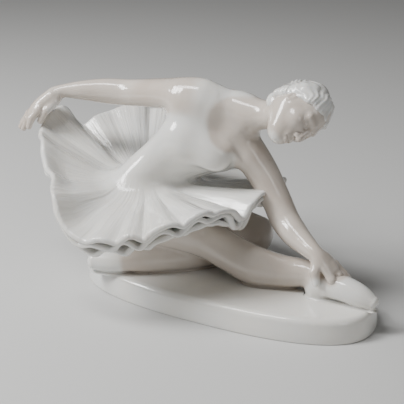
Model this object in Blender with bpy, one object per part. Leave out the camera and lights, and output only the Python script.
"""Porcelain figurine of a seated ballerina on an oval plinth.

The figure is built the way the real one is: separate castings that are fitted to each other and luted
with slip before firing. Each casting is one object. Where two castings meet, the later one is trimmed to
the earlier one's surface and keeps a joint of JOINT_GAP for the slip.

The design frame stands at the centre of the plinth's underside, in millimetres: +X along the plinth
towards the pointed shoe, +Y to the far side, +Z up. At the end everything is shifted so that the whole
figure's bounding box is centred over the origin.
"""

import math

import bmesh
import bpy
from mathutils import Vector

MM = 0.001
JOINT_GAP = 0.35  # slip joint between two castings

# Plinth: a superellipse in plan, hollow from below
PLINTH_LENGTH, PLINTH_WIDTH, PLINTH_HEIGHT = 226.0, 94.0, 17.0
PLINTH_POWER = 2.5  # exponent of the superellipse
PLINTH_FOOT = 7.0  # width of the flat foot ring
PLINTH_TOP = 6.0  # thickness of the top
RIM_RADIUS = 4.0
DRAFT = 1.5  # how much the side leans in from the foot to the rim

# Tutu: sheets around the waist, each with its own rim
WAIST = Vector((-66.0, 0.0, 77.0))
WAIST_RADIUS = 14.0  # where the sheets start, inside the body
SHEET = 2.6  # thickness of a sheet
FOLDS, FOLD_HEIGHT = 17, 3.0
# The top sheet's rim: (angle in degrees about the waist, distance from it, height).
TUTU_RIM = (
    (-170, 84, 114), (-152, 77, 107), (-136, 73, 101), (-123, 72, 95), (-110, 83, 84), (-92, 86, 66), (-68, 84, 62),
    (-46, 84, 74), (-28, 86, 80), (-10, 88, 70), (8, 92, 75), (24, 97, 78), (50, 88, 72), (75, 85, 68),
    (98, 84, 92), (116, 84, 111), (138, 85, 112), (157, 84, 105), (173, 86, 120),
)

# Head: its centre, the way the crown points and the way the face looks
HEAD = Vector((50.0, 10.0, 143.0))
CROWN = Vector((0.774, 0.557, 0.299)).normalized()
FACING = Vector((0.625, -0.605, -0.492)).normalized()
HEAD_LEFT = CROWN.cross(FACING).normalized()

# Joints of the figure
RIGHT_WRIST, LEFT_WRIST = (-139, 0, 136), (67.5, 1, 48)
RIGHT_KNEE, RIGHT_ANKLE, RIGHT_TOE = (-14, -2, 43), (62, 6, 29.5), (111, -1, 21.5)
LEFT_KNEE, LEFT_ANKLE, LEFT_TOE = (6, 38, 35), (-53, -22, 28), (-87, -40, 25)

# The limbs as stations: a centre, the direction of the section's width, its half width and its half depth.
NECK = tuple((centre, (0.2, 1, -0.4), wide, deep) for centre, wide, deep in (
    ((-10, 21, 127), 14, 12), ((0, 20, 132), 12, 11), ((13, 17.5, 134.5), 10.4, 10.2),
    ((27, 15, 137), 10.4, 10.2), (HEAD - CROWN * 9 - FACING * 5, 11, 11),
))
ARM_SIDE, PALM_SIDE = (0, 0.3, 1), (0.45, -0.82, 0.36)
RIGHT_ARM = (
    ((-22, 12, 133), ARM_SIDE, 13, 12), ((-37, 8, 141), ARM_SIDE, 14, 12.5),
    ((-52, 10, 142.5), ARM_SIDE, 11.5, 11), ((-72, 14, 140), ARM_SIDE, 10.2, 9.5),
    ((-91, 16, 137.5), ARM_SIDE, 9.8, 9), ((-108, 12, 137.5), ARM_SIDE, 9.2, 8),
    ((-125, 5, 137.5), ARM_SIDE, 7, 6.4), (RIGHT_WRIST, ARM_SIDE, 5, 5.8),
    ((-145, -5, 131.5), PALM_SIDE, 7.6, 4.6), ((-151, -11, 126.5), PALM_SIDE, 8, 3.4),
)
FOREARM_SIDE, GRIP_SIDE = (0.5, -0.8, 0.2), (-0.2, -0.95, 0.25)
LEFT_ARM = (
    ((-3, 19, 119), FOREARM_SIDE, 13, 12), ((6, 21, 106), FOREARM_SIDE, 13.5, 12.5),
    ((17, 22.5, 91), FOREARM_SIDE, 11.5, 11.5), ((28, 21.5, 74), FOREARM_SIDE, 10.8, 10.6),
    ((37.5, 17.5, 61), FOREARM_SIDE, 11.2, 10.4), ((48.5, 11, 54.5), FOREARM_SIDE, 10.4, 9.4),
    ((59, 5, 51), FOREARM_SIDE, 8.2, 7.4), (LEFT_WRIST, FOREARM_SIDE, 7.4, 6),
    ((73, 1.5, 44), GRIP_SIDE, 8.6, 6), ((79, 4, 39), GRIP_SIDE, 8.6, 4.6),
)
RIGHT_LEG = tuple((centre, (0, 1, 0), wide, deep) for centre, wide, deep in (
    ((-76, -17, 54), 18, 17), ((-55, -14, 53), 17.5, 17), ((-33, -8, 50), 16.5, 16), (RIGHT_KNEE, 14.6, 14),
    ((4, -1, 36), 14, 13.5), ((22, -1, 30.5), 13.5, 14), ((42, 3, 28.5), 11, 11.5), (RIGHT_ANKLE, 9, 9.5),
    ((76, 2, 27.5), 9, 9), ((90, 0.5, 25.5), 8.8, 7.6), ((103, -0.5, 22.5), 6.6, 5.6), (RIGHT_TOE, 4.4, 4),
))
LEFT_SHIN = tuple((centre, (0.6, -0.75, 0), wide, deep) for centre, wide, deep in (
    ((1, 32, 34), 13, 12), ((-12, 18, 31), 13, 12.5), ((-32, -4, 28.5), 12, 11.5), (LEFT_ANKLE, 10, 10.5),
    ((-64, -29, 27.5), 9.8, 9), ((-76, -35, 25.5), 9, 8), (LEFT_TOE, 6.5, 6.5),
))


# ---------------------------------------------------------------- helpers


def material(name, colour, roughness):
    made = bpy.data.materials.new(name)
    made.use_nodes = True
    shader = made.node_tree.nodes["Principled BSDF"]
    shader.inputs["Base Color"].default_value = (*colour, 1.0)
    shader.inputs["Roughness"].default_value = roughness
    shader.inputs["Metallic"].default_value = 0.0
    return made


def spline(rows, steps):
    """Catmull-Rom through rows of equal length, with `steps` points for each span."""
    last = len(rows) - 1
    points = []
    for i in range(last):
        four = [rows[min(max(i + k, 0), last)] for k in (-1, 0, 1, 2)]
        for j in range(steps):
            t = j / steps
            weights = (
                -0.5 * t + t * t - 0.5 * t**3,
                1 - 2.5 * t * t + 1.5 * t**3,
                0.5 * t + 2 * t * t - 1.5 * t**3,
                -0.5 * t * t + 0.5 * t**3,
            )
            points.append([sum(w * row[k] for w, row in zip(weights, four)) for k in range(len(rows[0]))])
    return points + [list(rows[-1])]


def mesh_of(name, points, faces):
    shape = bmesh.new()
    verts = [shape.verts.new(Vector(point) * MM) for point in points]
    for face in faces:
        shape.faces.new([verts[k] for k in face])
    bmesh.ops.recalc_face_normals(shape, faces=shape.faces)
    mesh = bpy.data.meshes.new(name)
    shape.to_mesh(mesh)
    shape.free()
    for polygon in mesh.polygons:
        polygon.use_smooth = True
    return mesh


def mesh_of_rings(name, rings, start_pole, end_pole):
    """A closed mesh over rings of equal length, closed at each end by a pole point."""
    size = len(rings[0])
    points = [point for ring in rings for point in ring] + [start_pole, end_pole]
    faces = []
    for r in range(len(rings) - 1):
        for k in range(size):
            n = (k + 1) % size
            faces.append((r * size + k, r * size + n, (r + 1) * size + n, (r + 1) * size + k))
    last, start, end = (len(rings) - 1) * size, len(rings) * size, len(rings) * size + 1
    for k in range(size):
        n = (k + 1) % size
        faces.append((start, n, k))
        faces.append((end, last + k, last + n))
    return mesh_of(name, points, faces)


def limb(name, stations, sides=14, steps=2, grow=0.0, domes=(0.8, 0.8), axis=None):
    """A lofted limb. A station is (centre, direction of its width, half width, half depth). Each end is
    domed, by its share in `domes` of the half depth there. The sections are square to the path, or to
    `axis` where one is given."""
    rows = [(*centre, *side, wide, deep) for centre, side, wide, deep in stations]
    path = spline(rows, steps)
    centres = [Vector(row[:3]) for row in path]
    last = len(path) - 1
    tangents = [(centres[min(i + 1, last)] - centres[max(i - 1, 0)]).normalized() for i in range(len(path))]
    if axis:
        tangents = [axis] * len(path)

    def ring(index, along, share):
        side = Vector(path[index][3:6])
        side = (side - tangents[index] * side.dot(tangents[index])).normalized()
        depth = tangents[index].cross(side)
        wide, deep = ((size + grow) * share for size in path[index][6:])
        middle = centres[index] + tangents[index] * along
        angles = [2 * math.pi * k / sides for k in range(sides)]
        return [middle + side * wide * math.cos(a) + depth * deep * math.sin(a) for a in angles]

    reach = [path[0][7] * domes[0] + grow, path[last][7] * domes[1] + grow]
    steps_in = [math.radians(60), math.radians(30)]
    rings = [ring(0, -reach[0] * math.sin(a), math.cos(a)) for a in steps_in]
    rings += [ring(i, 0.0, 1.0) for i in range(len(path))]
    rings += [ring(last, reach[1] * math.sin(a), math.cos(a)) for a in reversed(steps_in)]
    start, end = centres[0] - tangents[0] * reach[0], centres[last] + tangents[last] * reach[1]
    return mesh_of_rings(name, rings, start, end)


def add_object(name, mesh, surface):
    mesh.materials.append(surface)
    piece = bpy.data.objects.new(name, mesh)
    bpy.context.scene.collection.objects.link(piece)
    return piece


def boolean(piece, other, operation):
    modifier = piece.modifiers.new(operation.title(), "BOOLEAN")
    modifier.operation = operation
    modifier.solver = "EXACT"
    modifier.object = other


def guide(name, mesh):
    """A cutter or another shape that only helps to make a casting."""
    piece = add_object(name, mesh, GUIDE)
    piece.hide_render = True
    piece.display_type = "WIRE"
    return piece


# ---------------------------------------------------------------- shapes
# Each function gives the closed meshes whose union is one casting or one cutter, all grown by `grow`.


def block(point, direction, reach, half_width):
    """A cutter: a box that starts at a joint's plane and runs `reach` along `direction`. Grown, it starts half
    the growth earlier, so that the two castings of a joint share the gap."""
    point, forward = Vector(point), Vector(direction).normalized()
    sideways = forward.orthogonal().normalized()
    upward = forward.cross(sideways)

    def shape(grow):
        corners = []
        for along in (-grow / 2, reach):
            for x, y in ((-1, -1), (1, -1), (1, 1), (-1, 1)):
                corners.append(point + forward * along + (sideways * x + upward * y) * half_width)
        faces = ((0, 1, 2, 3), (4, 5, 6, 7), (0, 1, 5, 4), (1, 2, 6, 5), (2, 3, 7, 6), (3, 0, 4, 7))
        return [mesh_of("block", corners, faces)]

    return shape


def joint(point, direction, back, on):
    """The two cutters of a joint: the side the limb comes from, and the side it goes on to. `back` and `on`
    are their reach and half width."""
    backward = [-c for c in direction]
    return block(point, backward, *back), block(point, direction, *on)


def superellipse(half_length, half_width, z, count=48):
    points = []
    for k in range(count):
        angle = 2 * math.pi * (k + 0.5) / count
        c, s = math.cos(angle), math.sin(angle)
        points.append((
            half_length * math.copysign(abs(c) ** (2 / PLINTH_POWER), c),
            half_width * math.copysign(abs(s) ** (2 / PLINTH_POWER), s),
            z,
        ))
    return points


def plinth(grow):
    half_length, half_width = PLINTH_LENGTH / 2, PLINTH_WIDTH / 2

    def ring(inset, z):
        return superellipse(half_length - inset, half_width - inset, z)

    cavity = PLINTH_HEIGHT - PLINTH_TOP
    rings = [ring(PLINTH_FOOT + 3, cavity), ring(PLINTH_FOOT + 0.5, cavity - 3), ring(PLINTH_FOOT, 0)]
    rings += [ring(1.0 - grow, 0), ring(-grow, 1.0)]
    for degrees in (0, 30, 60, 90):
        a = math.radians(degrees)
        inset = DRAFT + RIM_RADIUS * (1 - math.cos(a))
        rings.append(ring(inset - grow, PLINTH_HEIGHT - RIM_RADIUS * (1 - math.sin(a)) + grow))
    return [mesh_of_rings("plinth", rings, (0, 0, cavity), (0, 0, PLINTH_HEIGHT + grow))]


def torso_trunk(grow):
    hips_across, chest_across = (0.3, 1, -0.2), (0.645, 0.3, -0.7)
    return [limb("trunk", (
        ((-71, -2, 62), hips_across, 27, 20),
        ((-67, 0, 75), hips_across, 27, 20),
        ((-53, 6, 93), (0.4, 0.9, -0.35), 23, 16.5),
        ((-35, 10, 107), (0.6, 0.6, -0.6), 27.5, 18),
        ((-22, 14, 117), chest_across, 31, 18.5),
        ((-11, 18, 128), chest_across, 28, 14),
        ((0, 21, 134), (0.6, 0.25, -0.75), 15, 11),
    ), sides=22, grow=grow)]


def stretch(name, stations, first, last, grow, sides=14):
    """The part of a long limb from station `first` to station `last`, with one station more at each end, so
    that two neighbouring castings have the same surface up to the joint between them."""
    return [limb(name, stations[max(first - 1, 0):last + 2], sides=sides, grow=grow)]


def torso(grow):
    neck = stretch("neck", NECK, 0, 2, grow, 16)
    shoulders = stretch("shoulder", RIGHT_ARM, 0, 3, grow) + stretch("shoulder", LEFT_ARM, 0, 3, grow)
    return torso_trunk(grow) + neck + shoulders


def hips(grow):
    across = (0.15, 1, 0)
    return [limb("hips", (
        ((-76, 0, 42), across, 27, 19), ((-74, 0, 54), across, 33, 26), ((-70, 0, 64), across, 32, 25),
    ), sides=20, grow=grow)]


def level(up, forward, wide, deep):
    """A section of the head, square to the direction of its crown."""
    return (HEAD + CROWN * up + FACING * forward, HEAD_LEFT, wide, deep)


def head(grow):
    skull = limb("skull", (
        level(-20.5, 10.5, 5.5, 5.5), level(-15, 7.5, 10, 11), level(-8, 3.5, 13.4, 15.5),
        level(0, 0.5, 15.6, 18.5), level(8, -0.5, 15.4, 18), level(14, -1, 11, 13),
    ), sides=18, grow=grow, domes=(0.8, 0.6), axis=CROWN)
    nose = limb("nose", (level(-1, 18, 1.6, 1.6), level(-6, 20.5, 2.6, 2.6)), sides=8, steps=1, grow=grow)
    ears = [limb("ear", (
        (HEAD + HEAD_LEFT * side * 15.2 - CROWN * 6 - FACING * 2, FACING, 3.2, 2.2),
        (HEAD + HEAD_LEFT * side * 16 + CROWN * 0.5 - FACING * 3, FACING, 4, 2.2),
    ), sides=8, steps=1, grow=grow) for side in (-1, 1)]
    return [skull, nose, *ears] + stretch("neck", NECK, 1, 4, grow, 16)


def hair(grow):
    return [limb("hair", (
        level(-13, -11, 9, 7), level(-7, -8, 15.5, 13), level(0, -3.5, 18.2, 19),
        level(8, -1, 17.8, 20), level(14, -1, 13.5, 16),
    ), sides=22, grow=grow, domes=(0.8, 0.55), axis=CROWN)]


# In front of the hairline, which runs from the nape over the ears to the forehead.
face_side = block(HEAD + CROWN * 0.5 - FACING * 4, FACING * 0.55 - CROWN * 0.83, 60, 60)


def hair_bun(grow):
    return [limb("bun", (
        (HEAD - CROWN * 11 - FACING * 16, HEAD_LEFT, 8, 7), (HEAD - CROWN * 12 - FACING * 20, HEAD_LEFT, 7, 6),
    ), grow=grow)]


def fingers(name, rows, across, grow):
    """Fingers, each a row of joints with the radius at its root and at its tip."""
    parts = []
    for joints, root, tip in rows:
        radii = [root + (tip - root) * k / (len(joints) - 1) for k in range(len(joints))]
        stations = [(Vector(centre), across, radius, radius) for centre, radius in zip(joints, radii)]
        parts.append(limb(name, stations, sides=8, grow=grow))
    return parts


def right_arm(grow):
    return stretch("right_arm", RIGHT_ARM, 1, 8, grow)


def left_arm(grow):
    return stretch("left_arm", LEFT_ARM, 1, 8, grow)


def right_hand(grow):
    return stretch("right_palm", RIGHT_ARM, 6, 9, grow) + fingers("right_finger", (
        (((-147, -16, 126.5), (-150.5, -20.5, 120), (-151.7, -22.5, 114.5)), 2.7, 2.0),
        (((-150, -13, 127), (-155, -18.5, 119.5), (-157.2, -22, 113)), 2.8, 2.0),
        (((-152, -9, 127), (-158.5, -15.5, 119.5), (-161.8, -19.7, 112.7)), 2.8, 2.0),
        (((-153, -5, 127), (-160, -11, 121), (-163.8, -15, 115)), 2.6, 1.9),
        (((-140, -7, 132), (-142.4, -14.6, 126.4), (-145, -17.3, 118.2)), 3.2, 2.3),
    ), (0.45, -0.82, 0.36), grow)


def left_hand(grow):
    return stretch("left_palm", LEFT_ARM, 6, 9, grow) + fingers("left_finger", (
        (((77, -3, 40), (82.3, -4.3, 34), (87, -3.5, 27)), 3.4, 2.6),
        (((79, 2, 41), (84.5, 2, 35.5), (90, 2.5, 28.5)), 3.4, 2.6),
        (((80, 8, 39), (85.5, 9.5, 33.5), (91, 9.5, 27)), 3.3, 2.5),
        (((79, 12, 37), (85.8, 14.5, 29.5), (90, 13.5, 23.5)), 3.0, 2.4),
        (((70.4, -2.5, 45), (71.3, -8, 38.5), (73.5, -9.5, 31.5)), 3.8, 2.8),
    ), (0.2, 0.95, -0.25), grow)


def right_leg(grow):
    return stretch("right_leg", RIGHT_LEG, 0, 8, grow, 16)


def right_shoe(grow):
    heel = limb("right_heel", (((69, 1, 18.5), (1, 0, 0), 6.5, 5.5), ((70, 2, 25), (1, 0, 0), 9, 7.5)), grow=grow)
    return stretch("right_foot", RIGHT_LEG, 6, 11, grow, 16) + [heel]


def left_thigh(grow):
    side = (-0.3, 1, 0)
    return [limb("left_thigh", (
        ((-70, 17, 56), side, 18, 18), ((-45, 25, 50), side, 18, 17.5), ((-20, 33, 42), side, 16.5, 16),
        (LEFT_KNEE, side, 15.5, 15),
    ), sides=16, grow=grow)]


def left_shin(grow):
    return stretch("left_shin", LEFT_SHIN, 0, 4, grow)


def left_shoe(grow):
    return stretch("left_foot", LEFT_SHIN, 2, 6, grow)


def tutu_rim(degrees):
    """Distance from the waist and height of the top sheet's rim at an angle about the waist."""
    rows = [(TUTU_RIM[-1][0] - 360, *TUTU_RIM[-1][1:]), *TUTU_RIM]
    rows += [(angle + 360, distance, height) for angle, distance, height in TUTU_RIM[:3]]
    curve = spline(rows, 8)
    for low, high in zip(curve, curve[1:]):
        if low[0] <= degrees <= high[0]:
            share = (degrees - low[0]) / (high[0] - low[0])
            return low[1] + (high[1] - low[1]) * share, low[2] + (high[2] - low[2]) * share
    raise ValueError(degrees)


def tutu_sheet(name, drop, droop, shrink, around, across):
    """One sheet of the tutu, a pleated ring around the waist. It lies under the top sheet by `drop` at the
    waist and by `drop + droop` at the rim, and is `shrink` narrower."""
    upper, lower = [], []
    for k in range(around):
        degrees = TUTU_RIM[0][0] + 360 * k / around
        a = math.radians(degrees)
        distance, height = tutu_rim(degrees)
        fold = FOLD_HEIGHT * math.cos(FOLDS * a + 0.8 * math.sin(3 * a))
        rise = height - WAIST.z
        bend = 1.7 if rise < 0 else 1.15
        for j in range(across + 1):
            radius = WAIST_RADIUS + (distance - shrink - WAIST_RADIUS) * j / across
            out = (radius - WAIST_RADIUS) / (distance - WAIST_RADIUS)
            z = WAIST.z + rise * out**bend + fold * out**1.3 - drop - droop * out
            point = Vector((WAIST.x + radius * math.cos(a), WAIST.y + radius * math.sin(a), z))
            upper.append(point)
            lower.append(point - Vector((0, 0, SHEET)))
    size, below = across + 1, around * (across + 1)
    faces = []
    for k in range(around):
        here, there = k * size, (k + 1) % around * size
        for j in range(across):
            square = (here + j, here + j + 1, there + j + 1, there + j)
            faces.append(square)
            faces.append([below + corner for corner in reversed(square)])
        for j in (0, across):
            faces.append((here + j, there + j, below + there + j, below + here + j))
    return [mesh_of(name, upper + lower, faces)]


def tutu_top(grow):
    return tutu_sheet("tutu_top", 0, 0, 0, around=85, across=4)


def tutu_middle(grow):
    return tutu_sheet("tutu_middle", 3.6, 1.2, 2, around=68, across=3)


def tutu_under(grow):
    return tutu_sheet("tutu_under", 7.2, 3.4, 6, around=68, across=3)


# ---------------------------------------------------------------- joints

before_neck, past_neck = joint((4, 19.5, 133), (1, -0.2, 0.2), (50, 40), (40, 14))
before_right_shoulder, past_right_shoulder = joint((-47, 9.5, 142.5), (-1, 0.1, 0), (60, 24), (60, 24))
before_left_shoulder, past_left_shoulder = joint((13, 22.2, 96), (0.55, 0.08, -0.83), (60, 24), (60, 24))
before_right_wrist, past_right_wrist = joint(RIGHT_WRIST, (-0.85, -0.4, -0.3), (60, 30), (60, 30))
before_left_wrist, past_left_wrist = joint(LEFT_WRIST, (0.8, -0.3, -0.5), (60, 30), (60, 30))
before_right_knee, past_right_knee = joint(RIGHT_KNEE, (0.93, 0.1, -0.35), (100, 40), (140, 40))
before_right_ankle, past_right_ankle = joint(RIGHT_ANKLE, (1, 0, 0), (80, 30), (60, 30))
before_left_ankle, past_left_ankle = joint(LEFT_ANKLE, (-0.7, -0.6, 0), (90, 50), (60, 30))


# ---------------------------------------------------------------- assembly

CUTTERS = {}


def build(name, shape, surface, trimmed_by=()):
    """Adds one casting: the union of its shapes, less the earlier castings it meets, which are grown by the
    joint gap."""
    meshes = shape(0.0)
    piece = add_object(name, meshes[0], surface)
    for k, mesh in enumerate(meshes[1:]):
        boolean(piece, guide(f"{name}_add_{k}", mesh), "UNION")
    for other in trimmed_by:
        if other not in CUTTERS:
            grown = other(JOINT_GAP)
            CUTTERS[other] = [guide(f"cut_{len(CUTTERS)}_{k}", mesh) for k, mesh in enumerate(grown)]
        for cutter in CUTTERS[other]:
            boolean(piece, cutter, "DIFFERENCE")
    return piece


for old in list(bpy.data.objects):
    bpy.data.objects.remove(old, do_unlink=True)

GUIDE = material("guide", (1.0, 0.3, 0.0), 0.5)
WHITE = ((0.80, 0.80, 0.76), 0.15)
SKIN = ((0.66, 0.60, 0.54), 0.18)

CASTINGS = (
    ("plinth", plinth, WHITE, ()),
    ("torso", torso, WHITE, (past_neck, past_right_shoulder, past_left_shoulder)),
    ("hips", hips, WHITE, (torso_trunk,)),
    ("head", head, SKIN, (before_neck,)),
    ("hair", hair, WHITE, (face_side, head)),
    ("hair_bun", hair_bun, WHITE, (head, hair)),
    ("right_arm", right_arm, SKIN, (before_right_shoulder, past_right_wrist)),
    ("right_hand", right_hand, SKIN, (before_right_wrist,)),
    ("right_thigh", right_leg, SKIN, (torso_trunk, hips, past_right_knee)),
    ("right_shin", right_leg, SKIN, (plinth, before_right_knee, past_right_ankle)),
    ("right_shoe", right_shoe, WHITE, (plinth, before_right_ankle)),
    ("left_arm", left_arm, SKIN, (before_left_shoulder, past_left_wrist)),
    ("left_hand", left_hand, SKIN, (before_left_wrist, right_shoe)),
    ("left_thigh", left_thigh, SKIN, (torso_trunk, plinth, hips, right_leg)),
    ("left_shin", left_shin, SKIN, (plinth, hips, right_leg, left_thigh, past_left_ankle)),
    ("left_shoe", left_shoe, WHITE, (plinth, hips, right_leg, left_thigh, before_left_ankle)),
    ("tutu_top", tutu_top, WHITE, (torso_trunk, hips, left_arm, right_hand)),
    ("tutu_middle", tutu_middle, WHITE, (torso_trunk, hips, right_leg, left_thigh, left_arm)),
    ("tutu_under", tutu_under, WHITE, (torso_trunk, hips, right_leg, left_thigh, left_arm)),
)

PIECES = [
    build(name, shape, material(name, colour, roughness), others)
    for name, shape, (colour, roughness), others in CASTINGS
]

# Centre the figure's bounding box over the origin. The guides move along with the castings.
depsgraph = bpy.context.evaluated_depsgraph_get()
corners = [v.co for piece in PIECES for v in piece.evaluated_get(depsgraph).data.vertices]
shift = Vector([-(min(c[k] for c in corners) + max(c[k] for c in corners)) / 2 for k in (0, 1)] + [0])
for thing in bpy.context.scene.objects:
    thing.location = shift
